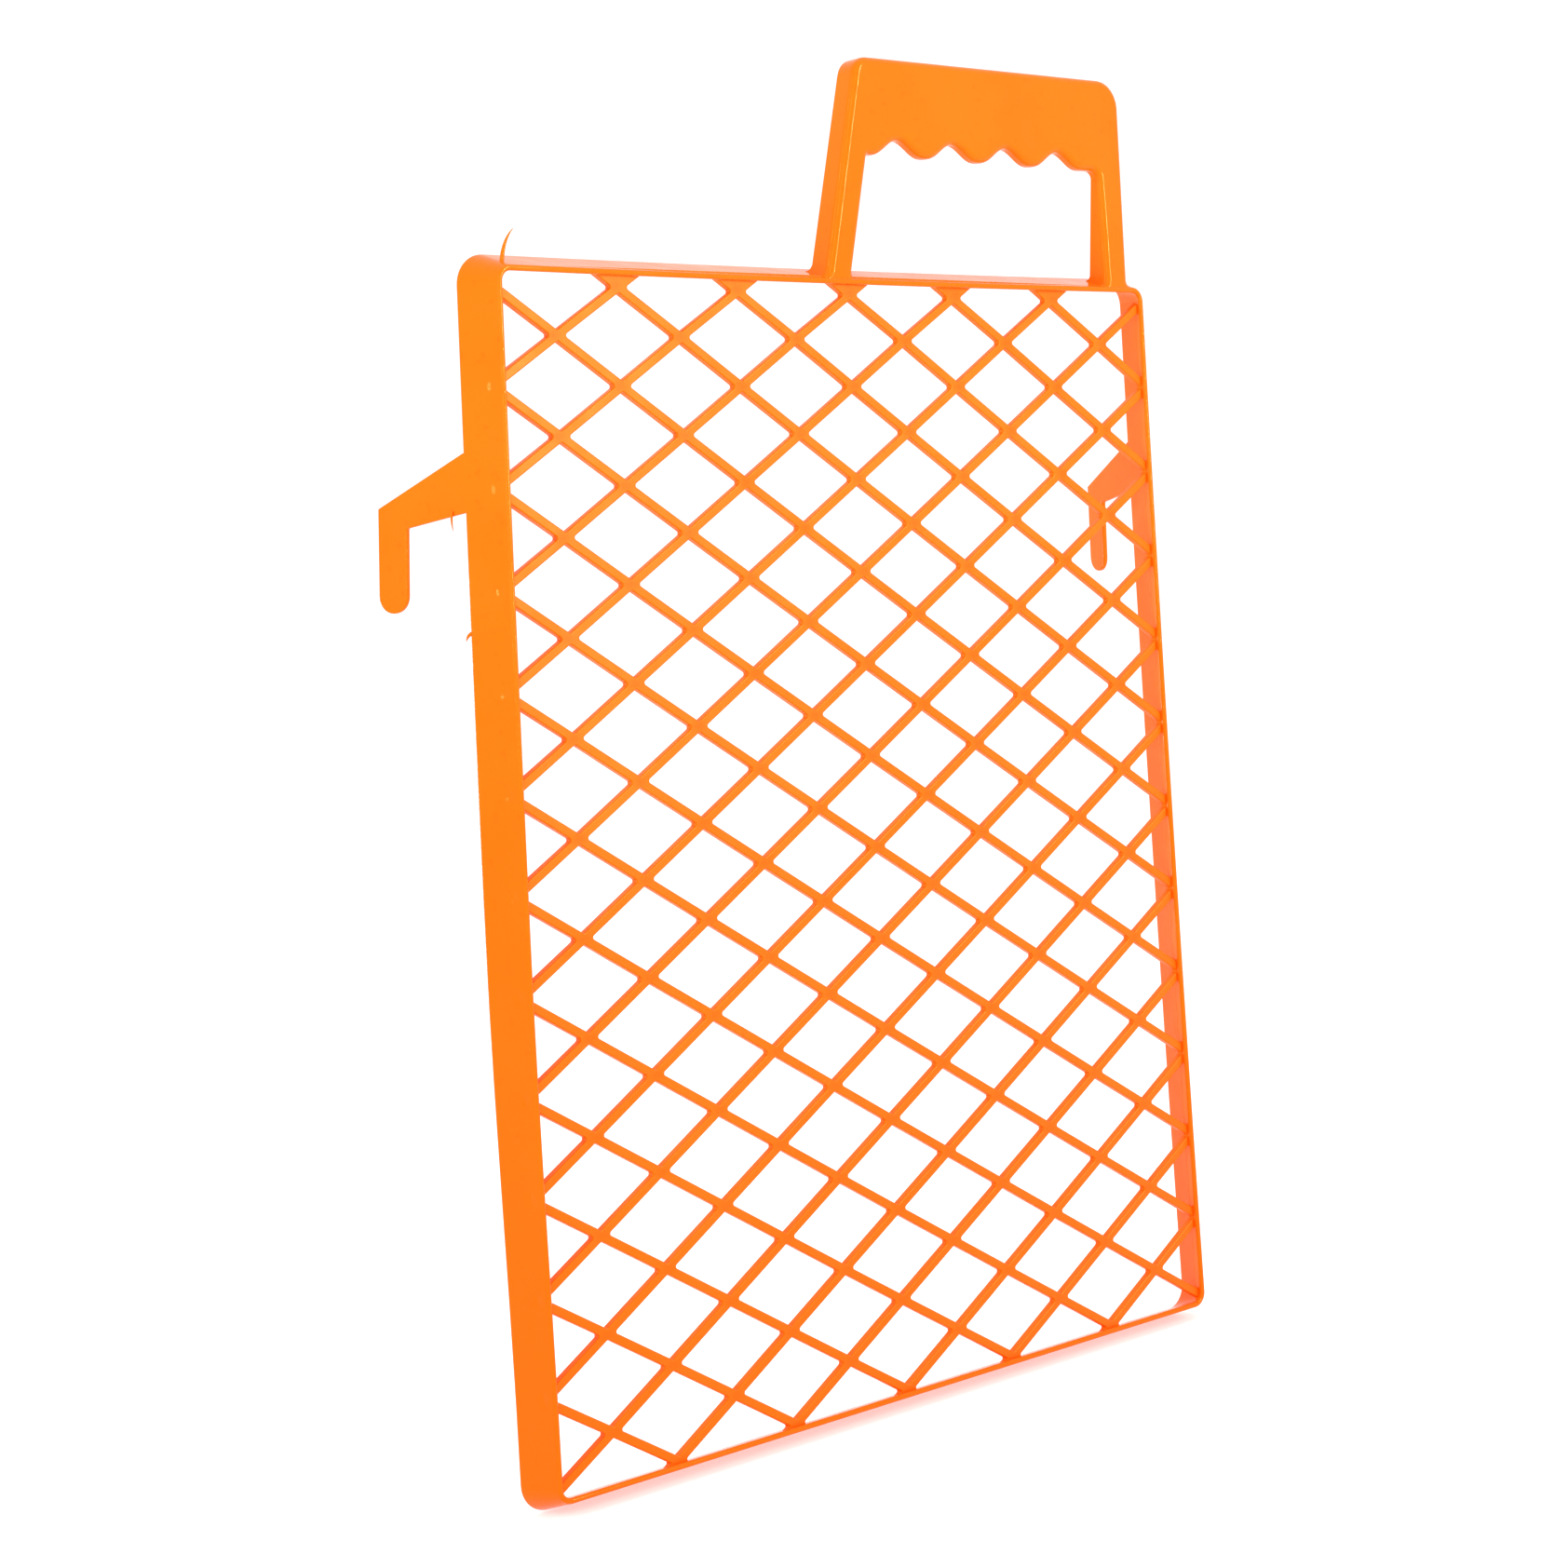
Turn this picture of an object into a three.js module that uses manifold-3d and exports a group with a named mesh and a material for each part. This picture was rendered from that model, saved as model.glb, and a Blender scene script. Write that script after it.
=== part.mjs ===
// A moulded plastic paint-roller grid that hangs inside a bucket: an open diamond mesh in a shallow
// flared rim, with a hook on each side and a finger-grip handle standing on the top wall.
// Millimetres, +Z up. The rolling face looks towards -Y and the hooks reach back towards +Y.
// Origin: midway between the two hooks, where their arms lie on the bucket's rim.
// The shapes below are drawn about the middle of the mesh, and one group moves them to that origin.

import * as THREE from 'three';
import { mergeVertices } from 'three/addons/utils/BufferGeometryUtils.js';
import Module from 'manifold-3d';

const wasm = await Module();
wasm.setup();

// The moulding's parts are modelled as separate bodies, with this gap where one ends at the next.
const GAP = 0.3;

// Diamond mesh: bars cross at the corners of CELL-sized diamonds, centred on x = 0, z = 0.
const CELL_WIDTH = 38.9;
const CELL_HEIGHT = 24.3;
const CELLS_ACROSS = 6;
const CELLS_DOWN = 12;
const BAR_WIDTH = 2.4;
const BAR_DEPTH = 2.2;

// Rim: a thin wall round the mesh that flares outwards to the back and narrows a little to the top.
const WALL = 1.6;
const RIM_FRONT = -2.6;
const RIM_BACK = 8.8;
const FRONT_HALF_WIDTH = 115.2;
const FRONT_TOP = 149.9;
const FRONT_BOTTOM = -147.3;
const CORNER_RADIUS = 4;
const CORNER_STEPS = 6;
const FLARE = THREE.MathUtils.degToRad(18.8);
const FLARE_SLOPE = Math.tan(FLARE);
const NARROWING = 0.0123;

// Hooks: flat plates that carry on the side walls' slope, in the walls' own plane.
const HOOK_REACH = 26.2;
const TINE_WIDTH = 8.6;
const TINE_LEAN = 0.9;
const ARM_TOP_AT_WALL = 106.4;
const ARM_TOP_AT_TINE = 94.5;
const ARM_SEAT_AT_WALL = 92.1;
const ARM_SEAT_AT_TINE = 89.3;
const TINE_END = 69.0;
const TINE_END_STEPS = 12;

// Handle: two legs on the front of the top wall and a scalloped grip between them.
const HANDLE_DEPTH = 7.4;
const HANDLE_TOP = 208.9;
const LEG_WIDTH = 8.9;
const LEG_SKIN = 2.0;
const RIGHT_LEG_OUTER = 108.9;
const LEFT_LEG_OUTER_AT_FOOT = -8.8;
const LEFT_LEG_LEAN = 0.235;
const GRIP_SEAM = 181.8;
const GRIP_PLATE = 3.8;
const GRIP_LEFT_RADIUS = 5.8;
const GRIP_RIGHT_RADIUS = 7.8;
const LOOP_TOP = 185.6;
const SCALLOP_PITCH = 21.0;
const SCALLOP_HEIGHT = 2.15;
const FIRST_SCALLOP = 20.1;
const FIRST_BUMP = 9.6;
const LAST_BUMP = 93.6;
const SCALLOP_STEPS = 8;

const SLOT_LENGTH = HOOK_REACH - TINE_WIDTH;
const ORIGIN_Y = RIM_BACK + (SLOT_LENGTH / 2) * Math.cos(FLARE);
const ORIGIN_Z = (ARM_SEAT_AT_WALL + ARM_SEAT_AT_TINE) / 2;

const ORANGE = 0xff8719;
const PLASTIC_ROUGHNESS = 0.35;

// ---- helpers ---------------------------------------------------------------------------------

// Extrudes an outline drawn in x, z from the depth yFront back to yFront + depth.
function extrudeBack(shape, yFront, depth) {
  const geometry = new THREE.ExtrudeGeometry(shape, { depth, bevelEnabled: false });
  geometry.rotateX(Math.PI / 2);
  geometry.translate(0, yFront + depth, 0);
  return geometry;
}

// Moves every vertex of a geometry by a function of its own place.
function bend(geometry, move) {
  const place = geometry.attributes.position;
  const point = new THREE.Vector3();
  for (let i = 0; i < place.count; i += 1) {
    point.fromBufferAttribute(place, i);
    move(point);
    place.setXYZ(i, point.x, point.y, point.z);
  }
  return geometry;
}

function toSolid(geometry) {
  const bare = geometry.index ? geometry.toNonIndexed() : geometry.clone();
  bare.deleteAttribute('normal');
  bare.deleteAttribute('uv');
  const merged = mergeVertices(bare, 1e-4);
  return new wasm.Manifold(
    new wasm.Mesh({
      numProp: 3,
      vertProperties: merged.attributes.position.array,
      triVerts: new Uint32Array(merged.index.array),
    }),
  );
}

function toGeometry(solid) {
  const mesh = solid.getMesh();
  const geometry = new THREE.BufferGeometry();
  geometry.setAttribute('position', new THREE.BufferAttribute(mesh.vertProperties, 3));
  geometry.setIndex(new THREE.BufferAttribute(mesh.triVerts, 1));
  return geometry;
}

function block(xLow, xHigh, yLow, yHigh, zLow, zHigh) {
  const box = new THREE.BoxGeometry(xHigh - xLow, yHigh - yLow, zHigh - zLow);
  return box.translate((xLow + xHigh) / 2, (yLow + yHigh) / 2, (zLow + zHigh) / 2);
}

const body = new THREE.Group();
body.position.set(0, -ORIGIN_Y, -ORIGIN_Z);

function addPart(name, geometry) {
  const material = new THREE.MeshStandardMaterial({
    color: ORANGE,
    roughness: PLASTIC_ROUGHNESS,
    metalness: 0,
  });
  geometry.computeVertexNormals();
  const mesh = new THREE.Mesh(geometry, material);
  mesh.name = name;
  body.add(mesh);
  return mesh;
}

// ---- rim -------------------------------------------------------------------------------------

const narrowed = (x, z) => x * (1 - (NARROWING * z) / FRONT_HALF_WIDTH);

// A rounded rectangle in the rim's front plane, set in from the rim's outer face.
function rimOutline(inset, radius) {
  const half = FRONT_HALF_WIDTH - inset - radius;
  const low = FRONT_BOTTOM + inset + radius;
  const high = FRONT_TOP - inset - radius;
  const outline = new THREE.Path();
  outline.absarc(half, high, radius, 0, Math.PI / 2);
  outline.absarc(-half, high, radius, Math.PI / 2, Math.PI);
  outline.absarc(-half, low, radius, Math.PI, 1.5 * Math.PI);
  outline.absarc(half, low, radius, 1.5 * Math.PI, 2 * Math.PI);
  return outline.getPoints(CORNER_STEPS);
}

// Pushes a point of the wall outwards for its depth, then draws it in for its height.
function flareOut(point) {
  const half = FRONT_HALF_WIDTH - CORNER_RADIUS;
  const nearestX = THREE.MathUtils.clamp(point.x, -half, half);
  const nearestZ = THREE.MathUtils.clamp(
    point.z,
    FRONT_BOTTOM + CORNER_RADIUS,
    FRONT_TOP - CORNER_RADIUS,
  );
  const outward = new THREE.Vector2(point.x - nearestX, point.z - nearestZ);
  outward.setLength((point.y - RIM_FRONT) * FLARE_SLOPE);
  point.z += outward.y;
  point.x = narrowed(point.x + outward.x, point.z);
}

function rimRing() {
  const ring = new THREE.Shape(rimOutline(0, CORNER_RADIUS));
  ring.holes.push(new THREE.Path(rimOutline(WALL, CORNER_RADIUS - WALL)));
  return toSolid(bend(extrudeBack(ring, RIM_FRONT, RIM_BACK - RIM_FRONT), flareOut));
}

// The side walls carry the corners, and the top and bottom walls run between them.
function addRim() {
  const ring = rimRing();
  const seam = FRONT_HALF_WIDTH - CORNER_RADIUS - 2 * WALL;
  const far = 2 * FRONT_TOP;
  const cuts = {
    top_wall: block(-seam, seam, -far, far, 0, far),
    bottom_wall: block(-seam, seam, -far, far, -far, 0),
    left_wall: block(-far, -seam - GAP, -far, far, -far, far),
    right_wall: block(seam + GAP, far, -far, far, -far, far),
  };
  for (const [name, cut] of Object.entries(cuts)) {
    addPart(name, toGeometry(ring.intersect(toSolid(cut))));
  }
}

// ---- diamond mesh ----------------------------------------------------------------------------

// One opening of the mesh: the cell's diamond, drawn in by half a bar on every side.
function opening(x, z) {
  const slant = Math.hypot(CELL_WIDTH, CELL_HEIGHT);
  const halfWidth = (CELL_WIDTH - (BAR_WIDTH * slant) / CELL_HEIGHT) / 2;
  const halfHeight = (CELL_HEIGHT - (BAR_WIDTH * slant) / CELL_WIDTH) / 2;
  const corners = [
    new THREE.Vector2(x + halfWidth, z),
    new THREE.Vector2(x, z + halfHeight),
    new THREE.Vector2(x - halfWidth, z),
    new THREE.Vector2(x, z - halfHeight),
  ];
  return toSolid(extrudeBack(new THREE.Shape(corners), -BAR_DEPTH, 2 * BAR_DEPTH));
}

// Openings lie on the cells and half-way between them. The row above the top nodes and the row
// below the bottom ones stay solid, so that each of those nodes widens into the wall.
function addMesh() {
  const reach = (-BAR_DEPTH / 2 - RIM_FRONT) * FLARE_SLOPE;
  const outline = rimOutline(WALL + GAP - reach, CORNER_RADIUS - WALL);
  const plate = new THREE.Shape(
    outline.map((p) => new THREE.Vector2(narrowed(p.x, p.y), p.y)),
  );
  let mesh = toSolid(extrudeBack(plate, -BAR_DEPTH / 2, BAR_DEPTH));
  for (let row = 0; row <= 2 * CELLS_DOWN; row += 1) {
    const first = row % 2 === 0 ? 0.5 : 0;
    for (let column = first; column <= CELLS_ACROSS; column += 1) {
      const x = (column - CELLS_ACROSS / 2) * CELL_WIDTH;
      const z = (CELLS_DOWN / 2 - row / 2) * CELL_HEIGHT;
      mesh = mesh.subtract(opening(x, z));
    }
  }
  // The corner nodes lie outside the wall, so nothing is left standing above them.
  const far = CELLS_DOWN * CELL_HEIGHT;
  const aboveNodes = far / 2 + BAR_WIDTH / 2;
  const cornerColumn = (CELLS_ACROSS / 2 - 0.5) * CELL_WIDTH;
  mesh = mesh.subtract(toSolid(block(-far, -cornerColumn, -far, far, aboveNodes, far)));
  mesh = mesh.subtract(toSolid(block(cornerColumn, far, -far, far, aboveNodes, far)));
  addPart('diamond_mesh', toGeometry(mesh));
}

// ---- hooks -----------------------------------------------------------------------------------

// A hook seen square to its plate: x runs back from the wall's edge, y is up. The tine leans back
// a little towards its end.
function hookShape() {
  const tineInner = HOOK_REACH - TINE_WIDTH;
  const radius = TINE_WIDTH / 2;
  const endMiddle = tineInner + TINE_LEAN + radius;
  const shape = new THREE.Shape();
  shape.moveTo(0, ARM_TOP_AT_WALL);
  shape.lineTo(0, ARM_SEAT_AT_WALL);
  shape.lineTo(tineInner, ARM_SEAT_AT_TINE);
  shape.lineTo(endMiddle - radius, TINE_END + radius);
  shape.absarc(endMiddle, TINE_END + radius, radius, Math.PI, 2 * Math.PI);
  shape.lineTo(HOOK_REACH, ARM_TOP_AT_TINE);
  return shape;
}

// side is -1 on the left and +1 on the right.
function addHook(name, side) {
  const plate = new THREE.ExtrudeGeometry(hookShape(), {
    depth: WALL,
    bevelEnabled: false,
    curveSegments: TINE_END_STEPS,
  });
  plate.translate(0, 0, -WALL / 2);
  plate.rotateX(Math.PI / 2);
  const hook = addPart(name, plate);
  const wallMiddle = FRONT_HALF_WIDTH - WALL / 2 + (RIM_BACK - RIM_FRONT) * FLARE_SLOPE;
  hook.rotation.z = Math.PI / 2 - side * FLARE;
  hook.position.set(side * narrowed(wallMiddle, ORIGIN_Z), RIM_BACK + GAP, 0);
}

// ---- handle ----------------------------------------------------------------------------------

const leftLegOuter = (z) => LEFT_LEG_OUTER_AT_FOOT + (z - FRONT_TOP) * LEFT_LEG_LEAN;

// A leg is a channel, open at the back: its section is drawn in x, y and raised along z.
function addLeg(name, outerAtFoot, lean) {
  const section = new THREE.Shape();
  section.moveTo(0, 0);
  section.lineTo(LEG_WIDTH, 0);
  section.lineTo(LEG_WIDTH, HANDLE_DEPTH);
  section.lineTo(LEG_WIDTH - LEG_SKIN, HANDLE_DEPTH);
  section.lineTo(LEG_WIDTH - LEG_SKIN, LEG_SKIN);
  section.lineTo(LEG_SKIN, LEG_SKIN);
  section.lineTo(LEG_SKIN, HANDLE_DEPTH);
  section.lineTo(0, HANDLE_DEPTH);
  const foot = FRONT_TOP + GAP;
  const leg = new THREE.ExtrudeGeometry(section, { depth: GRIP_SEAM - foot, bevelEnabled: false });
  leg.translate(outerAtFoot, RIM_FRONT, foot);
  bend(leg, (point) => {
    // The foot follows the slope of the flared wall under it.
    if (point.z < GRIP_SEAM - 1) {
      point.z += (point.y - RIM_FRONT) * FLARE_SLOPE;
    }
    point.x += (point.z - FRONT_TOP) * lean;
  });
  addPart(name, leg);
}

// The grip's edge from the left leg over the top to the right leg, set in from its outer face.
function gripEdge(inset) {
  const bottom = GRIP_SEAM + GAP;
  const lean = Math.atan(LEFT_LEG_LEAN);
  const insetX = inset / Math.cos(lean);
  const top = HANDLE_TOP - inset;
  const leftRadius = GRIP_LEFT_RADIUS - inset;
  const rightRadius = GRIP_RIGHT_RADIUS - inset;
  const right = RIGHT_LEG_OUTER - inset;
  // The left corner's centre lies one radius inside the leaning side and below the top.
  const leftCentre = leftLegOuter(top - leftRadius) + insetX + leftRadius / Math.cos(lean);
  const edge = new THREE.Path();
  edge.moveTo(right, bottom);
  edge.lineTo(right, top - rightRadius);
  edge.absarc(right - rightRadius, top - rightRadius, rightRadius, 0, Math.PI / 2);
  edge.absarc(leftCentre, top - leftRadius, leftRadius, Math.PI / 2, Math.PI - lean);
  edge.lineTo(leftLegOuter(bottom) + insetX, bottom);
  return edge.getPoints(CORNER_STEPS);
}

// The underside of the grip, from left to right: a row of finger scallops between two level ends.
function scallops() {
  const left = leftLegOuter(LOOP_TOP) + LEG_WIDTH;
  const right = RIGHT_LEG_OUTER - LEG_WIDTH;
  const steps = Math.round(((right - left) / SCALLOP_PITCH) * SCALLOP_STEPS);
  const points = [];
  for (let i = 0; i <= steps; i += 1) {
    const x = left + ((right - left) * i) / steps;
    const along = THREE.MathUtils.clamp(x, FIRST_BUMP, LAST_BUMP);
    const phase = (2 * Math.PI * (along - FIRST_SCALLOP)) / SCALLOP_PITCH;
    points.push(new THREE.Vector2(x, LOOP_TOP + SCALLOP_HEIGHT * Math.cos(phase)));
  }
  return points;
}

function addGrip() {
  const bottom = GRIP_SEAM + GAP;
  const plate = new THREE.Shape([
    ...gripEdge(0),
    new THREE.Vector2(leftLegOuter(bottom) + LEG_WIDTH, bottom),
    ...scallops(),
    new THREE.Vector2(RIGHT_LEG_OUTER - LEG_WIDTH, bottom),
  ]);
  const lip = new THREE.Shape([...gripEdge(0), ...gripEdge(LEG_SKIN).reverse()]);
  const front = toSolid(extrudeBack(plate, RIM_FRONT, GRIP_PLATE));
  const around = toSolid(extrudeBack(lip, RIM_FRONT, HANDLE_DEPTH));
  addPart('handle_grip', toGeometry(front.add(around)));
}

// ---- assembly --------------------------------------------------------------------------------

addRim();
addMesh();
addHook('left_hook', -1);
addHook('right_hook', 1);
addLeg('handle_left_leg', LEFT_LEG_OUTER_AT_FOOT, LEFT_LEG_LEAN);
addLeg('handle_right_leg', RIGHT_LEG_OUTER - LEG_WIDTH, 0);
addGrip();

const group = new THREE.Group();
group.add(body);

export default group;
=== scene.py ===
"""Looks of the moulded orange paint-roller grid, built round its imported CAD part.

Shapes are worked out in millimetres about the middle of the diamond mesh, as in the part's source:
x to the right, y to the back, z up. place() turns them into the row frame's metres.
"""

import math

import bmesh
import bpy
from mathutils import Matrix, Vector
from mathutils.geometry import delaunay_2d_cdt


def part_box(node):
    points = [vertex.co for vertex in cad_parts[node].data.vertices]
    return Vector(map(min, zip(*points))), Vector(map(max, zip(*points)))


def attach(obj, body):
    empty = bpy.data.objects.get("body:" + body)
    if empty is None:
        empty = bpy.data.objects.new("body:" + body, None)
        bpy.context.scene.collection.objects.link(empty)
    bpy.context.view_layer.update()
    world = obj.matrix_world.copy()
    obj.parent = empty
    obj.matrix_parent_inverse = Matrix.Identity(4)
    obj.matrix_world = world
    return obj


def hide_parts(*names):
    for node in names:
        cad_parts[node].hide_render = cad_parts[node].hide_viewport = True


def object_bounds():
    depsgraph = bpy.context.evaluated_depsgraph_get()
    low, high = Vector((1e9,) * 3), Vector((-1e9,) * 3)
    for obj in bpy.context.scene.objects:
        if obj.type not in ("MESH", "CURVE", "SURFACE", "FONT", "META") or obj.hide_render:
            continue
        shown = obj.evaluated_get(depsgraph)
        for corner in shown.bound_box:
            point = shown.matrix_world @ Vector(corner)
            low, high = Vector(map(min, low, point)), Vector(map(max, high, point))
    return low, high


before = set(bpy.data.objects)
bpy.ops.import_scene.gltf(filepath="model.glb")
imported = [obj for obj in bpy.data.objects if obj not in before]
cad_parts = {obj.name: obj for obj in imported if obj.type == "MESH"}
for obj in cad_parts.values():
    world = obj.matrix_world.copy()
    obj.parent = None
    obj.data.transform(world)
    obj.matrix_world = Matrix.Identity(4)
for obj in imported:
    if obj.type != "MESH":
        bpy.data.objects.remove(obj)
cad_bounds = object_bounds()

MM = 0.001

# Diamond mesh. Its openings run IN_WALL into the walls, and its own edge lies BORDER_IN_WALL in them.
CELL_WIDTH = 38.9
CELL_HEIGHT = 24.3
CELLS_ACROSS = 6
CELLS_DOWN = 12
BAR_WIDTH = 2.35
BAR_DEPTH = 2.2
BAR_ROUND = 0.42
CROSSING_RADIUS = 0.6
IN_WALL = 0.2
RIM_CORNER = 2.8
BORDER_IN_WALL = 1.1

# Rim: a thin wall that flares to the back and narrows to the top
WALL = 1.6
RIM_FRONT = -2.6
RIM_BACK = 8.8
HALF_WIDTH = 115.2
RIM_TOP = 149.9
RIM_BOTTOM = -147.3
CORNER_RADIUS = 4.0
RIM_ROUND = 0.7
FLARE = math.radians(18.8)
FLARE_SLOPE = math.tan(FLARE)
NARROWING = 0.0123
NARROWED_AT = 115.2
SEAM = HALF_WIDTH - CORNER_RADIUS - 2 * WALL

# Slight faults of the moulding, each in millimetres
TWIST = 1.05
BOW = 0.8
TOP_SAG = 0.5
LIP_SPREAD = 1.0
CORNER_PULL = 1.5
SINK_DEPTH = 0.22
SINK_LENGTH = 1.5
SINK_BREADTH = 0.85
SINK_Y = 0.4

# Hooks
HOOK_REACH = 26.2
TINE_WIDTH = 8.6
TINE_LEAN = 0.9
ARM_TOP_AT_WALL = 106.4
ARM_TOP_AT_TINE = 94.5
ARM_SEAT_AT_WALL = 92.1
ARM_SEAT_AT_TINE = 89.3
TINE_END = 69.0
HOOK_ROOT = 3.0
HOOK_ROUND = 0.45
HOOK_THINNING = 0.06

# Handle
HANDLE_FRONT = RIM_FRONT + 0.25
HANDLE_DEPTH = 7.15
HANDLE_TOP = 208.5
LEG_WIDTH = 8.9
SKIN = 2.0
RIGHT_LEG_OUTER = 109.6
RIGHT_LEG_SPREAD = 0.035
LEFT_LEG_OUTER_AT_FOOT = -8.5
LEFT_LEG_LEAN = 0.235
GRIP_EDGE_DEPTH = 3.8
GRIP_LEFT_RADIUS = 5.8
GRIP_RIGHT_RADIUS = 7.8
LOOP_TOP = 185.0
LOOP_RADIUS = 2.6
FOOT_RADIUS = 2.2
SCALLOP_PITCH = 21.0
SCALLOP_HEIGHT = 2.15
SCALLOP_SHARPNESS = 1.25
SCALLOP_STEP = 1.3
FIRST_SCALLOP = 20.1
FIRST_BUMP = 9.6
LAST_BUMP = 93.6
FRONT_ROUND = 2.0
BACK_ROUND = 0.45
POCKET_FLOOR = SKIN + 0.4
BURIED = 0.8

# Plastic: colours, and how glossy the mesh and the rest are
ORANGE = (0.92, 0.134, 0.0026, 1)
PALE_ORANGE = (0.94, 0.154, 0.0050, 1)
# The deepest orange is used for painted shade low down and where the mesh's bars cross, and for the fine
# dark specks.
SHADE_AND_SPECK_ORANGE = (0.87, 0.090, 0.0010, 1)
CLOUD_SCALE = 22.0
MOTTLE_SCALE = 420.0
RUBBED_SCALE = 75.0
WAVE_SCALE = 90.0
WAVE_HEIGHT = 0.00025
GRAIN_SCALE = 1900.0
GRAIN_HEIGHT = 0.000008
CROSSING_SHARPNESS = 14.0
GLOSSY_ROUGHNESS = (0.09, 0.17)
SATIN_ROUGHNESS = (0.30, 0.42)
SPECULAR_LEVEL = 0.18
SPECULAR_TINT = (1.0, 0.75, 0.22, 1)

# Camera, in metres in the row frame, with its lens in millimetres
CAMERA_PLACE = (-0.51468, -0.58535, -0.01549)
CAMERA_FORWARD = (0.67443, 0.73663, -0.05028)
CAMERA_UP = (0.07364, 0.00065, 0.99728)
SENSOR = 36
LENS = 66.6813
SHIFT_X = -0.06461
SHIFT_Y = -0.04840

# Light and floor
WHITE = (1, 1, 1, 1)
WORLD_STRENGTH = 1.12
STRIP_WIDTH = 0.02
STRIP_HEIGHT = 0.7
FRONT_STRIP = (0.42, -0.90, 0.28)
AIM = (0, 0, 0.1)
FLOOR_HALF = 8
FLOOR_DROP = 0.0001
FLOOR_TONES = ((0.62, 0.62, 0.62, 1), (0.66, 0.66, 0.66, 1))
FLOOR_GLOW = 0.45

ORIGIN_Y = RIM_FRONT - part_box("left_wall")[0].y / MM
ORIGIN_Z = RIM_BOTTOM - (RIM_BACK - RIM_FRONT) * FLARE_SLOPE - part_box("bottom_wall")[0].z / MM


# ---- helpers --------------------------------------------------------------------------------------


def smooth(low, high, value):
    """Goes evenly from 0 at low to 1 at high, and stays level beyond them."""
    share = max(0.0, min(1.0, (value - low) / (high - low)))
    return share * share * (3 - 2 * share)


def sink(p):
    """How far the side walls' skin is drawn in at a point: a shallow sink mark where the bars end."""
    row = round(p.z / CELL_HEIGHT)
    if abs(p.x) < HALF_WIDTH - WALL or abs(row) > CELLS_DOWN / 2 - 1:
        return 0.0
    away = ((p.z - row * CELL_HEIGHT) / SINK_LENGTH) ** 2 + ((p.y - SINK_Y) / SINK_BREADTH) ** 2
    return SINK_DEPTH * math.exp(-away)


def place(p):
    """A point of the shapes, in millimetres, as a point of the row frame in metres, with the small
    faults of the moulding: it is twisted and bowed, its top wall sags, its left wall spreads and its
    bottom left corner is drawn in."""
    height = p.z / RIM_TOP
    x = p.x * (1 - NARROWING * p.z / NARROWED_AT) - math.copysign(sink(p), p.x)
    if p.x < 0:
        depth = min(1.0, max(0.0, (p.y - RIM_FRONT) / (RIM_BACK - RIM_FRONT)))
        at_left_wall = smooth(0.85, 1.0, -p.x / HALF_WIDTH)
        x -= LIP_SPREAD * depth * at_left_wall * smooth(-0.9, 0.1, height)
        x += CORNER_PULL * smooth(0.1, 1.0, -height) * smooth(0.0, 1.0, -p.x / HALF_WIDTH)
    y = p.y + TWIST * height * p.x / HALF_WIDTH + BOW * (1 - height**2)
    z = p.z - TOP_SAG * smooth(0.9, 1.0, height) * (1 - (p.x / HALF_WIDTH) ** 2)
    return Vector((x, y - ORIGIN_Y, z - ORIGIN_Z)) * MM


def place_normal(p, normal):
    """The way a surface faces once its points have been placed."""
    side = normal.orthogonal().normalized()
    across = normal.cross(side)
    step = 0.01
    return (place(p + side * step) - place(p)).cross(place(p + across * step) - place(p)).normalized()


class Skin:
    """Collects points with the way the surface faces there, and faces, for one piece."""

    def __init__(self, matrix=None):
        self.matrix = matrix or Matrix.Identity(4)
        self.points = []
        self.normals = []
        self.faces = []

    def ring(self, points):
        """Adds points given as (place, normal) and returns their numbers."""
        first = len(self.points)
        for p, normal in points:
            self.points.append(self.matrix @ Vector(p))
            self.normals.append((self.matrix.to_3x3() @ Vector(normal)).normalized())
        return list(range(first, len(self.points)))

    def strip(self, a, b, closed=True):
        """Quads between two rings of as many points."""
        for i in range(len(a) if closed else len(a) - 1):
            j = (i + 1) % len(a)
            self.faces.append((a[i], a[j], b[j], b[i]))

    def fill(self, outline, holes=()):
        """Fills a flat outline, less its holes, which are convex, with triangles."""
        ids = list(outline) + [i for hole in holes for i in hole]
        owner = [0] * len(outline) + [h + 1 for h, hole in enumerate(holes) for _ in hole]
        inverse = self.matrix.inverted()
        flat = [inverse @ self.points[i] for i in ids]
        edges = []
        first = 0
        for loop in (outline, *holes):
            count = len(loop)
            edges += [(first + k, first + (k + 1) % count) for k in range(count)]
            first += count
        result = delaunay_2d_cdt([(p.x, p.z) for p in flat], edges, [], 1, 1e-7)
        lost = [tuple(p) for p, origins in zip(result[0], result[3]) if not origins]
        if lost:
            raise ValueError(f"the outline crosses itself at {lost}")
        source = [origins[0] for origins in result[3]]
        for triangle in result[2]:
            corners = [source[k] for k in triangle]
            owners = {owner[k] for k in corners}
            if len(owners) > 1 or owners == {0}:
                self.faces.append([ids[k] for k in corners])

    def build(self, name, material, nodes):
        """Makes the piece, which stands for the named CAD nodes."""
        mesh = bpy.data.meshes.new(name)
        mesh.from_pydata([place(p) for p in self.points], [], self.faces)
        shape = bmesh.new()
        shape.from_mesh(mesh)
        bmesh.ops.recalc_face_normals(shape, faces=shape.faces)
        shape.to_mesh(mesh)
        shape.free()
        mesh.polygons.foreach_set("use_smooth", [True] * len(mesh.polygons))
        normals = [place_normal(p, n) for p, n in zip(self.points, self.normals)]
        mesh.normals_split_custom_set_from_vertices(normals)
        mesh.materials.append(material)
        piece = bpy.data.objects.new(name, mesh)
        bpy.context.scene.collection.objects.link(piece)
        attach(piece, "root")
        if nodes:
            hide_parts(*nodes)
        return piece


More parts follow.
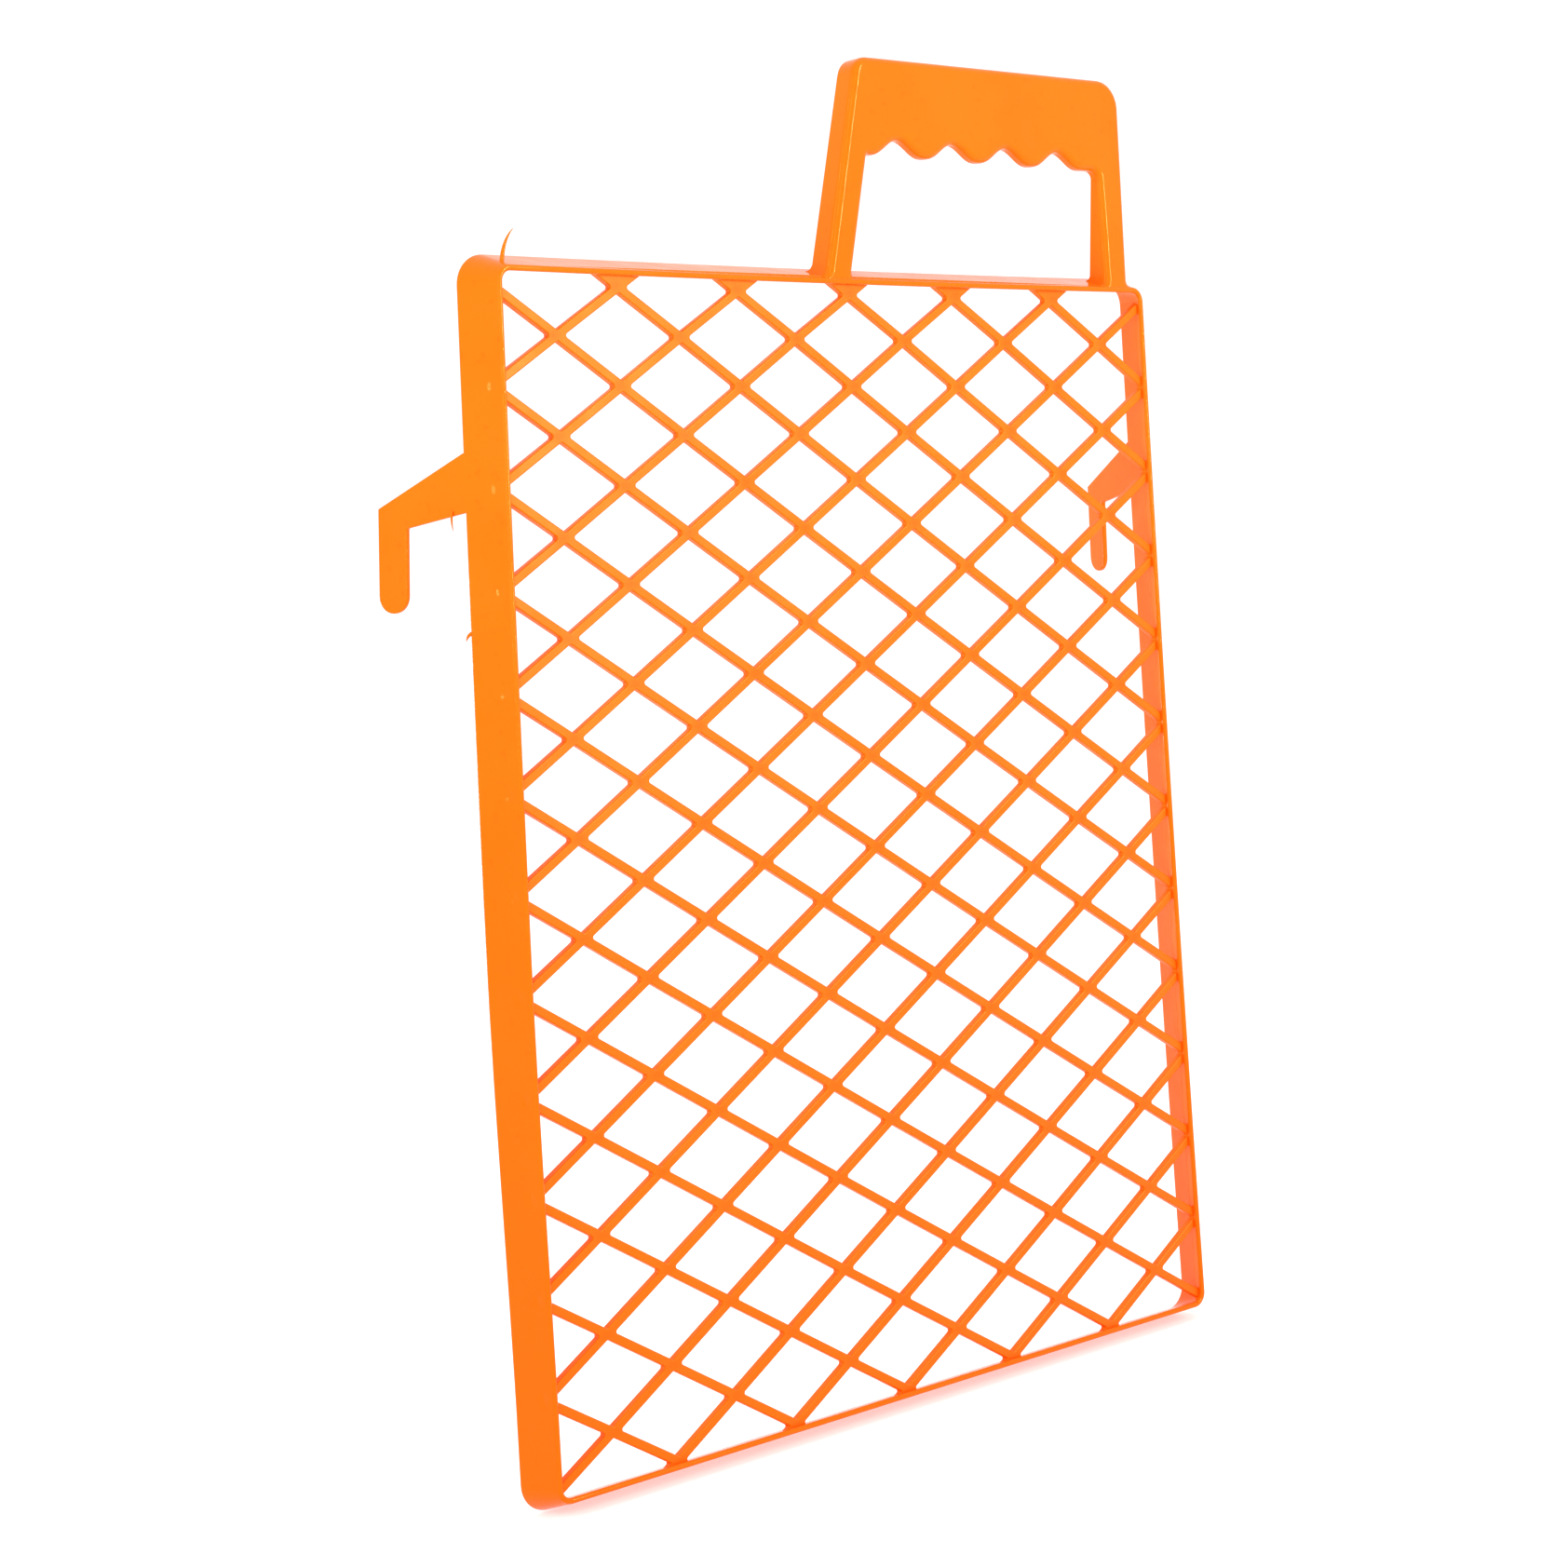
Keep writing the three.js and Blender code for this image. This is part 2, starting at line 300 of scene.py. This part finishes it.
def rounded(corners, steps=6):
    """A closed outline, against the clock, whose corners (x, z, radius) are rounded.
    Returns (x, z, normal x, normal z), with the normals facing out."""
    outline = []
    count = len(corners)
    for i, (x, z, radius) in enumerate(corners):
        before = Vector(corners[i - 1][:2])
        here = Vector((x, z))
        after = Vector(corners[(i + 1) % count][:2])
        arriving = (here - before).normalized()
        leaving = (after - here).normalized()
        turn = math.atan2(arriving.cross(leaving), arriving.dot(leaving))
        facing = math.atan2(-arriving.x, arriving.y)
        if radius == 0:
            angle = facing + turn / 2
            outline.append((x, z, math.cos(angle), math.sin(angle)))
            continue
        way = 1 if turn > 0 else -1
        start = here - arriving * radius * math.tan(abs(turn) / 2)
        centre = start - way * radius * Vector((math.cos(facing), math.sin(facing)))
        for k in range(steps + 1):
            angle = facing + turn * k / steps
            normal = Vector((math.cos(angle), math.sin(angle)))
            point = centre + way * radius * normal
            outline.append((point.x, point.y, normal.x, normal.y))
    return outline


def sweep(skin, outline, profile, facing=1):
    """Rings of an outline, one for each (inset, depth, tilt) of a profile. A tilt of 0 faces out of the
    outline and a quarter turn faces the front. facing is -1 where the outline is a hole's."""
    rings = []
    for inset, depth, tilt in profile:
        across, front = facing * math.cos(tilt), math.sin(tilt)
        points = []
        for x, z, nx, nz in outline:
            p = (x - facing * nx * inset, depth, z - facing * nz * inset)
            points.append((p, (nx * across, -front, nz * across)))
        rings.append(skin.ring(points))
    for a, b in zip(rings, rings[1:]):
        skin.strip(a, b)
    return rings


def edge_profile(front, back, radius, steps=3):
    """Down the edge of a flat plate, rounded at its front and its back."""
    profile = []
    for k in range(steps + 1):
        tilt = math.pi / 2 * (1 - k / steps)
        profile.append((radius * (1 - math.cos(tilt)), front + radius * (1 - math.sin(tilt)), tilt))
    for k in range(steps + 1):
        tilt = -math.pi / 2 * k / steps
        profile.append((radius * (1 - math.cos(tilt)), back - radius * (1 + math.sin(tilt)), tilt))
    return profile


# ---- diamond mesh -----------------------------------------------------------------------------------

SLANT = math.hypot(CELL_WIDTH, CELL_HEIGHT)
ALONG = Vector((CELL_WIDTH, CELL_HEIGHT)) / SLANT


def wall_reach(y):
    """How far the flared wall has moved out at a depth."""
    return (y - RIM_FRONT) * FLARE_SLOPE


def clip(polygon, at, facing):
    """The part of a convex polygon on the side of a line that it faces."""
    kept = []
    for i, p in enumerate(polygon):
        q = polygon[(i + 1) % len(polygon)]
        dp, dq = (p - at).dot(facing), (q - at).dot(facing)
        if dp >= 0:
            kept.append(p)
        if dp * dq < 0:
            kept.append(p + (q - p) * dp / (dp - dq))
    return kept


def opening(u, v):
    """The outline of the opening whose cell is centred u cells across and v cells down."""
    centre = Vector(((u - CELLS_ACROSS / 2) * CELL_WIDTH, (CELLS_DOWN / 2 - v) * CELL_HEIGHT))
    reach = wall_reach(0) - WALL + IN_WALL
    x_end, z_high, z_low = HALF_WIDTH + reach, RIM_TOP + reach, RIM_BOTTOM - reach
    polygon = [Vector(p) for p in ((-x_end, z_low), (x_end, z_low), (x_end, z_high), (-x_end, z_high))]
    for side in (-1, 1):
        for up in (-1, 1):
            # The top corners' outermost bars would lie outside the rim.
            if up == 1 and v == 0 and u == CELLS_ACROSS / 2 + side * (CELLS_ACROSS / 2 - 0.5):
                continue
            outward = Vector((side * ALONG.y, up * ALONG.x))
            to_bar = CELL_WIDTH * CELL_HEIGHT / (2 * SLANT) - BAR_WIDTH / 2
            polygon = clip(polygon, centre + outward * to_bar, -outward)
    corners = []
    for i, p in enumerate(polygon):
        before, after = polygon[i - 1] - p, polygon[(i + 1) % len(polygon)] - p
        angle = before.angle(after)
        if abs(angle - math.pi / 2) < 0.01:
            radius = RIM_CORNER
        else:
            radius = min(CROSSING_RADIUS, 0.45 * min(before.length, after.length) * math.tan(angle / 2))
        corners.append((p.x, p.y, radius))
    return rounded(corners)


def make_diamond_mesh(material):
    """A flat plate whose edge lies inside the walls, less one rounded opening for each diamond."""
    skin = Skin()
    reach = wall_reach(0) - WALL + BORDER_IN_WALL
    x, high, low, radius = (
        HALF_WIDTH + reach,
        RIM_TOP + reach,
        RIM_BOTTOM - reach,
        CORNER_RADIUS + reach,
    )
    border = rounded([(-x, low, radius), (x, low, radius), (x, high, radius), (-x, high, radius)])
    edge = [(0, -BAR_DEPTH / 2, 0), (0, BAR_DEPTH / 2, 0)]
    borders = sweep(skin, border, edge)
    profile = edge_profile(-BAR_DEPTH / 2, BAR_DEPTH / 2, BAR_ROUND)
    fronts, backs = [], []
    for row in range(2 * CELLS_DOWN + 1):
        first = 0.5 if row % 2 == 0 else 0
        for column in range(CELLS_ACROSS + (row % 2)):
            rings = sweep(skin, opening(first + column, row / 2), profile, facing=-1)
            fronts.append(rings[0])
            backs.append(rings[-1])
    skin.fill(borders[0], fronts)
    skin.fill(borders[-1], backs)
    for ring, y in ((borders[0], -1), (borders[-1], 1)):
        for i in ring:
            skin.normals[i] = Vector((0, y, 0))
    return skin.build("grid_mesh", material, ["diamond_mesh"])


# ---- rim --------------------------------------------------------------------------------------------


def rim_profile():
    """The wall's section as (inset, depth, tilt), run round once."""
    reach = wall_reach(RIM_BACK)
    corners = [
        (0, RIM_FRONT, RIM_ROUND),
        (WALL, RIM_FRONT, RIM_ROUND),
        (WALL - reach, RIM_BACK, RIM_ROUND),
        (-reach, RIM_BACK, RIM_ROUND),
    ]
    across_sinks = [SINK_Y + SINK_BREADTH * k / 2 for k in range(4, -4, -1)]
    corners += [(-wall_reach(depth), depth, 0) for depth in across_sinks]
    section = rounded(corners, steps=4)
    return [(inset, depth, math.atan2(-nd, -ni)) for inset, depth, ni, nd in section]


def rim_path():
    """Round the rim's front edge, from the right end of the bottom wall against the clock, with extra
    points beside each sink mark and at the seams between the walls."""
    half = HALF_WIDTH
    corners = rounded(
        [
            (half, RIM_BOTTOM, CORNER_RADIUS),
            (half, RIM_TOP, CORNER_RADIUS),
            (-half, RIM_TOP, CORNER_RADIUS),
            (-half, RIM_BOTTOM, CORNER_RADIUS),
        ],
        steps=12,
    )
    rows = range(1 - CELLS_DOWN // 2, CELLS_DOWN // 2)
    heights = [CELL_HEIGHT * row + SINK_LENGTH * k / 2 for row in rows for k in range(-4, 5)]
    widths = [-SEAM + 2 * SEAM * k / 12 for k in range(13)]
    path = []
    for i, here in enumerate(corners):
        path.append(here)
        after = corners[(i + 1) % len(corners)]
        if abs(after[1] - here[1]) > CELL_HEIGHT:
            rising = after[1] > here[1]
            path += [(here[0], z, here[2], here[3]) for z in sorted(heights, reverse=not rising)]
        elif abs(after[0] - here[0]) > CELL_HEIGHT:
            rising = after[0] > here[0]
            path += [(x, here[1], here[2], here[3]) for x in sorted(widths, reverse=not rising)]
    return path


def make_rim(material):
    """The four walls: the same section all round, cut at the seams beside the corners."""
    path = rim_path()
    profile = rim_profile()
    walls = {
        "top_wall": lambda x, z: abs(x) <= SEAM + 0.01 and z > 0,
        "bottom_wall": lambda x, z: abs(x) <= SEAM + 0.01 and z < 0,
        "left_wall": lambda x, z: x <= -SEAM + 0.01,
        "right_wall": lambda x, z: x >= SEAM - 0.01,
    }
    for name, belongs in walls.items():
        chosen = [i for i, p in enumerate(path) if belongs(p[0], p[1])]
        # Start after the break in the numbering, where the path passes its own beginning.
        for k in range(1, len(chosen)):
            if chosen[k] != chosen[k - 1] + 1:
                chosen = chosen[k:] + chosen[:k]
                break
        skin = Skin()
        rings = []
        for i in chosen:
            x, z, nx, nz = path[i]
            ring = []
            for inset, depth, tilt in profile:
                p = (x - nx * inset, depth, z - nz * inset)
                ring.append((p, (nx * math.cos(tilt), -math.sin(tilt), nz * math.cos(tilt))))
            rings.append(skin.ring(ring))
        for a, b in zip(rings, rings[1:]):
            skin.strip(a, b)
        skin.faces.append(rings[0])
        skin.faces.append(rings[-1])
        skin.build("rim_" + name, material, [name])


# ---- hooks ------------------------------------------------------------------------------------------


def make_hook(name, side, material):
    """A flat plate with rounded edges. It is drawn with x back along the wall's slope and y through the
    plate, and its root lies inside the wall."""
    tine_inner = HOOK_REACH - TINE_WIDTH
    thick = WALL * math.cos(FLARE) - HOOK_THINNING
    root = -HOOK_ROOT
    end_radius = TINE_WIDTH / 2 - 0.1
    outline = rounded(
        [
            (root, ARM_SEAT_AT_WALL, 0.6),
            (0, ARM_SEAT_AT_WALL, 0.8),
            (tine_inner, ARM_SEAT_AT_TINE, 0.5),
            (tine_inner + TINE_LEAN, TINE_END, end_radius),
            (HOOK_REACH + TINE_LEAN, TINE_END, end_radius),
            (HOOK_REACH, ARM_TOP_AT_TINE, 0.5),
            (0, ARM_TOP_AT_WALL, 0.8),
            (root, ARM_TOP_AT_WALL, 0.6),
        ],
        steps=8,
    )
    back = Vector((side * math.sin(FLARE), math.cos(FLARE), 0))
    across = Vector((0, 0, 1)).cross(back)
    wall_middle = HALF_WIDTH - WALL / 2 + wall_reach(RIM_BACK)
    matrix = Matrix((back, across, (0, 0, 1))).transposed().to_4x4()
    matrix.translation = (side * wall_middle, RIM_BACK, 0)
    skin = Skin(matrix)
    rings = sweep(skin, outline, edge_profile(-thick / 2, thick / 2, HOOK_ROUND))
    skin.fill(rings[0])
    skin.fill(rings[-1])
    return skin.build("rim_" + name, material, [name])


# ---- handle -----------------------------------------------------------------------------------------


def left_leg_outer(z):
    """The left leg leans to the right as it goes up."""
    return LEFT_LEG_OUTER_AT_FOOT + (z - RIM_TOP) * LEFT_LEG_LEAN


def right_leg_inner(z):
    """The right leg widens upward, toward the grip."""
    return RIGHT_LEG_OUTER - LEG_WIDTH - (z - RIM_TOP) * RIGHT_LEG_SPREAD


def scallop(x):
    """The height of the grip's underside, which is level beyond the first and last bumps."""
    along = min(max(x, FIRST_BUMP), LAST_BUMP) - FIRST_SCALLOP
    rise = (0.5 + 0.5 * math.cos(2 * math.pi * along / SCALLOP_PITCH)) ** SCALLOP_SHARPNESS
    return LOOP_TOP + SCALLOP_HEIGHT * (2 * rise - 1)


def handle_outline():
    """From the right leg's foot up, over the grip, down the left leg, and back along the fingers."""
    buried = RIM_TOP - BURIED
    heights = [RIM_TOP + FOOT_RADIUS * k / 5 for k in range(6)]
    right = RIGHT_LEG_OUTER
    bump = scallop(FIRST_BUMP)
    corners = [(right_leg_inner(buried), buried, 0), (right, buried, 0)]
    corners += [(right, z, 0) for z in heights]
    corners.append((right, HANDLE_TOP, GRIP_RIGHT_RADIUS))
    corners.append((left_leg_outer(HANDLE_TOP), HANDLE_TOP, GRIP_LEFT_RADIUS))
    corners += [(left_leg_outer(z), z, 0) for z in reversed(heights)]
    corners.append((left_leg_outer(buried), buried, 0))
    corners.append((left_leg_outer(buried) + LEG_WIDTH, buried, 0))
    corners += [(left_leg_outer(z) + LEG_WIDTH, z, 0) for z in heights]
    corners.append((left_leg_outer(bump) + LEG_WIDTH, bump, 1.0))
    count = round((LAST_BUMP - FIRST_BUMP) / SCALLOP_STEP)
    for i in range(1, count + 1):
        x = FIRST_BUMP + (LAST_BUMP - FIRST_BUMP) * i / count
        corners.append((x, scallop(x), 0))
    corners.append((right_leg_inner(bump), bump, LOOP_RADIUS))
    corners += [(right_leg_inner(z), z, 0) for z in reversed(heights)]
    # The soles lie inside the wall and are not drawn in with the sides.
    outline = []
    for x, z, nx, nz in rounded(corners):
        outline.append((x, z, math.copysign(1, nx), 0) if z < RIM_TOP else (x, z, nx, nz))
    return outline


def widened(x, z):
    """A leg's x near its foot, where the sides curve out into the wall."""
    height = max(0.0, z - RIM_TOP)
    if height >= FOOT_RADIUS:
        return x
    flare = FOOT_RADIUS - math.sqrt(FOOT_RADIUS**2 - (FOOT_RADIUS - height) ** 2)
    on_right = x > (RIGHT_LEG_OUTER + LEFT_LEG_OUTER_AT_FOOT) / 2
    middle = (RIGHT_LEG_OUTER - LEG_WIDTH if on_right else left_leg_outer(z)) + LEG_WIDTH / 2
    return middle + (x - middle) * (1 + 2 * flare / LEG_WIDTH)


def make_handle(material):
    """Both legs and the grip in one piece: a skin round a front plate, open to the back."""
    outline = handle_outline()
    skin = Skin()

    def edge_depth(x, z):
        """How far back the edge reaches: less along the finger side than on the legs."""
        between = left_leg_outer(z) + LEG_WIDTH / 2 < x < RIGHT_LEG_OUTER - LEG_WIDTH / 2
        if not between or z >= LOOP_TOP + 5:
            return HANDLE_DEPTH
        down_leg = smooth(LOOP_TOP - 3, LOOP_TOP - 14, z)
        return GRIP_EDGE_DEPTH + (HANDLE_DEPTH - GRIP_EDGE_DEPTH) * down_leg

    def ring(inset, from_front, from_edge, tilt):
        """The outline at a depth, measured from the front, or from the edge's back if from_edge is 1."""
        points = []
        for x, z, nx, nz in outline:
            depth = HANDLE_FRONT + from_front + from_edge * edge_depth(x, z)
            px, pz = x - nx * inset, z - nz * inset
            foot = 1 - smooth(RIM_TOP + 1, RIM_TOP + 7, pz)
            p = (widened(px, pz), depth, pz + foot * (depth - RIM_FRONT) * FLARE_SLOPE)
            points.append((p, (nx * math.cos(tilt), -math.sin(tilt), nz * math.cos(tilt))))
        return skin.ring(points)

    rings = []
    steps = 5
    for k in range(steps + 1):
        tilt = math.pi / 2 * (1 - k / steps)
        inset = FRONT_ROUND * (1 - math.cos(tilt))
        rings.append(ring(inset, FRONT_ROUND * (1 - math.sin(tilt)), 0, tilt))
    # Round the back edge's outer and inner sides, then into the corner of the pocket behind.
    for k in range(4):
        tilt = -math.pi / 2 * k / 3
        inset = BACK_ROUND * (1 - math.cos(tilt))
        rings.append(ring(inset, -BACK_ROUND * (1 + math.sin(tilt)), 1, tilt))
    for k in range(4):
        tilt = -math.pi / 2 * (1 + k / 3)
        inset = SKIN - BACK_ROUND * (1 + math.cos(tilt))
        rings.append(ring(inset, -BACK_ROUND * (1 + math.sin(tilt)), 1, tilt))
    for k in range(4):
        turn = math.pi / 2 * k / 3
        inset = SKIN + BACK_ROUND * (1 - math.cos(turn))
        depth = POCKET_FLOOR + BACK_ROUND * (1 - math.sin(turn))
        rings.append(ring(inset, depth, 0, math.pi + turn))
    for a, b in zip(rings, rings[1:]):
        skin.strip(a, b)
    skin.fill(rings[0])
    skin.fill(rings[-1])
    return skin.build("handle", material, ["handle_left_leg", "handle_right_leg", "handle_grip"])


# ---- moulding flash ---------------------------------------------------------------------------------


def make_strand(name, points, base, material):
    """A hair of flash: a curved thread of round section that thins towards its end."""
    skin = Skin()
    rings = []
    sides = 8
    steps = 12
    start, middle, end = (Vector(p) for p in points)
    for k in range(steps + 1):
        t = k / steps
        here = start * (1 - t) ** 2 + middle * 2 * t * (1 - t) + end * t**2
        way = ((middle - start) * (1 - t) + (end - middle) * t).normalized()
        across = way.cross(Vector((0, 1, 0))).normalized()
        other = way.cross(across)
        radius = base * (1 - 0.85 * t**1.5)
        ring = []
        for j in range(sides):
            angle = 2 * math.pi * j / sides
            out = across * math.cos(angle) + other * math.sin(angle)
            ring.append((here + out * radius, out))
        rings.append(skin.ring(ring))
    for a, b in zip(rings, rings[1:]):
        skin.strip(a, b)
    skin.faces.append(rings[0])
    skin.faces.append(rings[-1])
    return skin.build(name, material, [])


def make_flash(material):
    """A hair on the top wall near its left end, a shorter one under the left hook, and a nib on the left
    wall's back edge."""
    back = RIM_BACK - 0.4
    hair = [(-111.3, 1.0, 150.6), (-111.0, 0.8, 156.0), (-108.0, 0.6, 158.9)]
    make_strand("flash_hair_top", hair, 0.55, material)
    wall = -HALF_WIDTH - wall_reach(back)
    hair = [
        (wall - 1.5, back + 3.4, 92.6),
        (wall - 1.8, back + 3.6, 90.4),
        (wall - 1.4, back + 3.3, 88.0),
    ]
    make_strand("flash_hair_hook", hair, 0.35, material)
    nib = [(wall + 0.4, back, 63.4), (wall - 0.6, back + 0.5, 63.0), (wall - 0.8, back + 0.6, 61.6)]
    make_strand("flash_nib_wall", nib, 0.5, material)


# ---- material ---------------------------------------------------------------------------------------


class Nodes:
    """Short ways to add the few kinds of node that the plastic uses."""

    def __init__(self, tree):
        self.tree = tree

    def add(self, kind, **settings):
        node = self.tree.nodes.new(kind)
        for name, value in settings.items():
            setattr(node, name, value)
        return node

    def feed(self, socket, value):
        if isinstance(value, bpy.types.NodeSocket):
            self.tree.links.new(value, socket)
        else:
            socket.default_value = value

    def math(self, operation, *values):
        node = self.add("ShaderNodeMath", operation=operation)
        for socket, value in zip(node.inputs, values):
            self.feed(socket, value)
        return node.outputs[0]

    def span(self, value, low, high, to_low, to_high):
        node = self.add("ShaderNodeMapRange", interpolation_type="SMOOTHSTEP")
        for socket, given in zip(node.inputs, (value, low, high, to_low, to_high)):
            self.feed(socket, given)
        return node.outputs[0]

    def noise(self, where, scale, detail):
        node = self.add("ShaderNodeTexNoise")
        self.feed(node.inputs["Vector"], where)
        self.feed(node.inputs["Scale"], scale)
        self.feed(node.inputs["Detail"], detail)
        return node.outputs["Fac"]

    def blend(self, share, a, b):
        node = self.add("ShaderNodeMix", data_type="RGBA")
        self.feed(node.inputs["Factor"], share)
        self.feed(node.inputs[6], a)
        self.feed(node.inputs[7], b)
        return node.outputs[2]

    def bump(self, height, distance, normal=None):
        node = self.add("ShaderNodeBump")
        self.feed(node.inputs["Height"], height)
        self.feed(node.inputs["Distance"], distance)
        if normal:
            self.feed(node.inputs["Normal"], normal)
        return node.outputs["Normal"]


def crossing_pattern(nodes, x, z):
    """1 where two bars cross, falling to 0 along them: the mask of the mesh's painted shade."""
    across = nodes.math("DIVIDE", x, CELL_WIDTH * MM)
    up = nodes.math("DIVIDE", nodes.math("ADD", z, ORIGIN_Z * MM), CELL_HEIGHT * MM)
    peaks = []
    for operation in ("ADD", "SUBTRACT"):
        turn = nodes.math("MULTIPLY", nodes.math(operation, across, up), 2 * math.pi)
        peaks.append(nodes.math("MULTIPLY_ADD", nodes.math("COSINE", turn), 0.5, 0.5))
    return nodes.math("POWER", nodes.math("MULTIPLY", peaks[0], peaks[1]), CROSSING_SHARPNESS)


def orange_plastic(name, crossed=False):
    """Moulded polypropylene: almost even in colour, with painted shade that deepens it low down, a fine
    grain and slightly wavy, unevenly rubbed surfaces. crossed is for the mesh, which also gets painted
    shade where its bars cross and is less glossy."""
    material = bpy.data.materials.new(name)
    material.use_nodes = True
    nodes = Nodes(material.node_tree)
    shader = material.node_tree.nodes["Principled BSDF"]
    where = nodes.add("ShaderNodeTexCoord").outputs["Object"]
    split = nodes.add("ShaderNodeSeparateXYZ")
    nodes.feed(split.inputs[0], where)

    clouds = nodes.noise(where, CLOUD_SCALE, 3.0)
    colour = nodes.blend(nodes.span(clouds, 0.38, 0.68, 0.0, 0.7), ORANGE, PALE_ORANGE)
    # Painted shade: the colour deepens towards the bottom, standing in for the weaker light low down.
    painted_low_shade = nodes.span(split.outputs["Z"], -0.24, 0.04, 0.6, 0.0)
    colour = nodes.blend(painted_low_shade, colour, SHADE_AND_SPECK_ORANGE)
    if crossed:
        # Painted shade where the bars cross, in the corners of the openings.
        painted_crossing_shade = crossing_pattern(nodes, split.outputs["X"], split.outputs["Z"])
        colour = nodes.blend(nodes.math("MULTIPLY", painted_crossing_shade, 0.6), colour, SHADE_AND_SPECK_ORANGE)
    mottle = nodes.noise(where, MOTTLE_SCALE, 2.0)
    colour = nodes.blend(nodes.span(mottle, 0.55, 0.85, 0.0, 0.35), colour, SHADE_AND_SPECK_ORANGE)
    nodes.feed(shader.inputs["Base Color"], colour)

    smoothest, roughest = SATIN_ROUGHNESS if crossed else GLOSSY_ROUGHNESS
    rubbed = nodes.noise(where, RUBBED_SCALE, 4.0)
    nodes.feed(shader.inputs["Roughness"], nodes.span(rubbed, 0.3, 0.7, smoothest, roughest))
    waves = nodes.bump(nodes.noise(where, WAVE_SCALE, 1.0), WAVE_HEIGHT)
    grain = nodes.bump(nodes.noise(where, GRAIN_SCALE, 2.0), GRAIN_HEIGHT, waves)
    nodes.feed(shader.inputs["Normal"], grain)
    shader.inputs["Specular IOR Level"].default_value = SPECULAR_LEVEL
    shader.inputs["Specular Tint"].default_value = SPECULAR_TINT
    return material


# ---- camera, light and floor ------------------------------------------------------------------------


def make_camera():
    forward = Vector(CAMERA_FORWARD).normalized()
    right = forward.cross(Vector(CAMERA_UP)).normalized()
    data = bpy.data.cameras.new("camera")
    data.sensor_width = SENSOR
    data.lens = LENS
    data.shift_x = SHIFT_X
    data.shift_y = SHIFT_Y
    camera = bpy.data.objects.new("camera", data)
    matrix = Matrix((right, right.cross(forward), -forward)).transposed().to_4x4()
    matrix.translation = CAMERA_PLACE
    camera.matrix_world = matrix
    bpy.context.scene.collection.objects.link(camera)
    bpy.context.scene.camera = camera


def make_world():
    world = bpy.data.worlds.new("studio")
    world.use_nodes = True
    background = world.node_tree.nodes["Background"]
    background.inputs["Color"].default_value = WHITE
    background.inputs["Strength"].default_value = WORLD_STRENGTH
    bpy.context.scene.world = world
    bpy.context.scene.view_settings.view_transform = "Standard"


def make_light(name, position, target, width, height, power, glints_only=False):
    """A rectangular light that looks at its target. With glints_only it shows only in reflections."""
    data = bpy.data.lights.new(name, "AREA")
    data.shape = "RECTANGLE"
    data.size = width
    data.size_y = height
    data.energy = power
    light = bpy.data.objects.new(name, data)
    light.location = position
    light.visible_diffuse = not glints_only
    light.rotation_euler = (Vector(target) - Vector(position)).to_track_quat("-Z", "Y").to_euler()
    bpy.context.scene.collection.objects.link(light)


def make_floor():
    """A wide pale floor, a hair below the bottom wall, which glows a little like a lit table."""
    z = cad_bounds[0][2] - FLOOR_DROP
    half = FLOOR_HALF
    corners = [(-half, -half, z), (half, -half, z), (half, half, z), (-half, half, z)]
    mesh = bpy.data.meshes.new("floor")
    mesh.from_pydata(corners, [], [(0, 1, 2, 3)])
    material = bpy.data.materials.new("pale_floor")
    material.use_nodes = True
    nodes = Nodes(material.node_tree)
    shader = material.node_tree.nodes["Principled BSDF"]
    where = nodes.add("ShaderNodeTexCoord").outputs["Object"]
    tone = nodes.blend(nodes.noise(where, 3.0, 2.0), *FLOOR_TONES)
    nodes.feed(shader.inputs["Base Color"], tone)
    shader.inputs["Roughness"].default_value = 0.9
    shader.inputs["Specular IOR Level"].default_value = 0.0
    shader.inputs["Emission Color"].default_value = WHITE
    shader.inputs["Emission Strength"].default_value = FLOOR_GLOW
    mesh.materials.append(material)
    floor = bpy.data.objects.new("floor", mesh)
    bpy.context.scene.collection.objects.link(floor)


def make_lights():
    """Thin upright strips, which draw fine glints along rounded edges, and a soft light behind."""
    near = (-0.72, -0.76, 0.24)
    handle = (0.05, 0, 0.1)
    strip = (STRIP_WIDTH, STRIP_HEIGHT)
    make_light("left_strip", (-0.95, -0.10, 0.28), AIM, *strip, power=3.2)
    make_light("front_strip", FRONT_STRIP, handle, *strip, power=5.0)
    make_light("front_glint", FRONT_STRIP, handle, *strip, power=12.0, glints_only=True)
    make_light("near_strip", near, AIM, 0.8 * STRIP_WIDTH, STRIP_HEIGHT, power=2.4)
    make_light("back_fill", (-0.30, 0.90, -0.15), (0.1, 0, 0), width=0.3, height=0.3, power=3.0)


make_camera()
make_world()
make_lights()
make_floor()
plastic = orange_plastic("moulded_orange_plastic")
make_diamond_mesh(orange_plastic("moulded_orange_mesh", crossed=True))
make_rim(plastic)
make_hook("left_hook", -1, plastic)
make_hook("right_hook", 1, plastic)
make_handle(plastic)
make_flash(plastic)
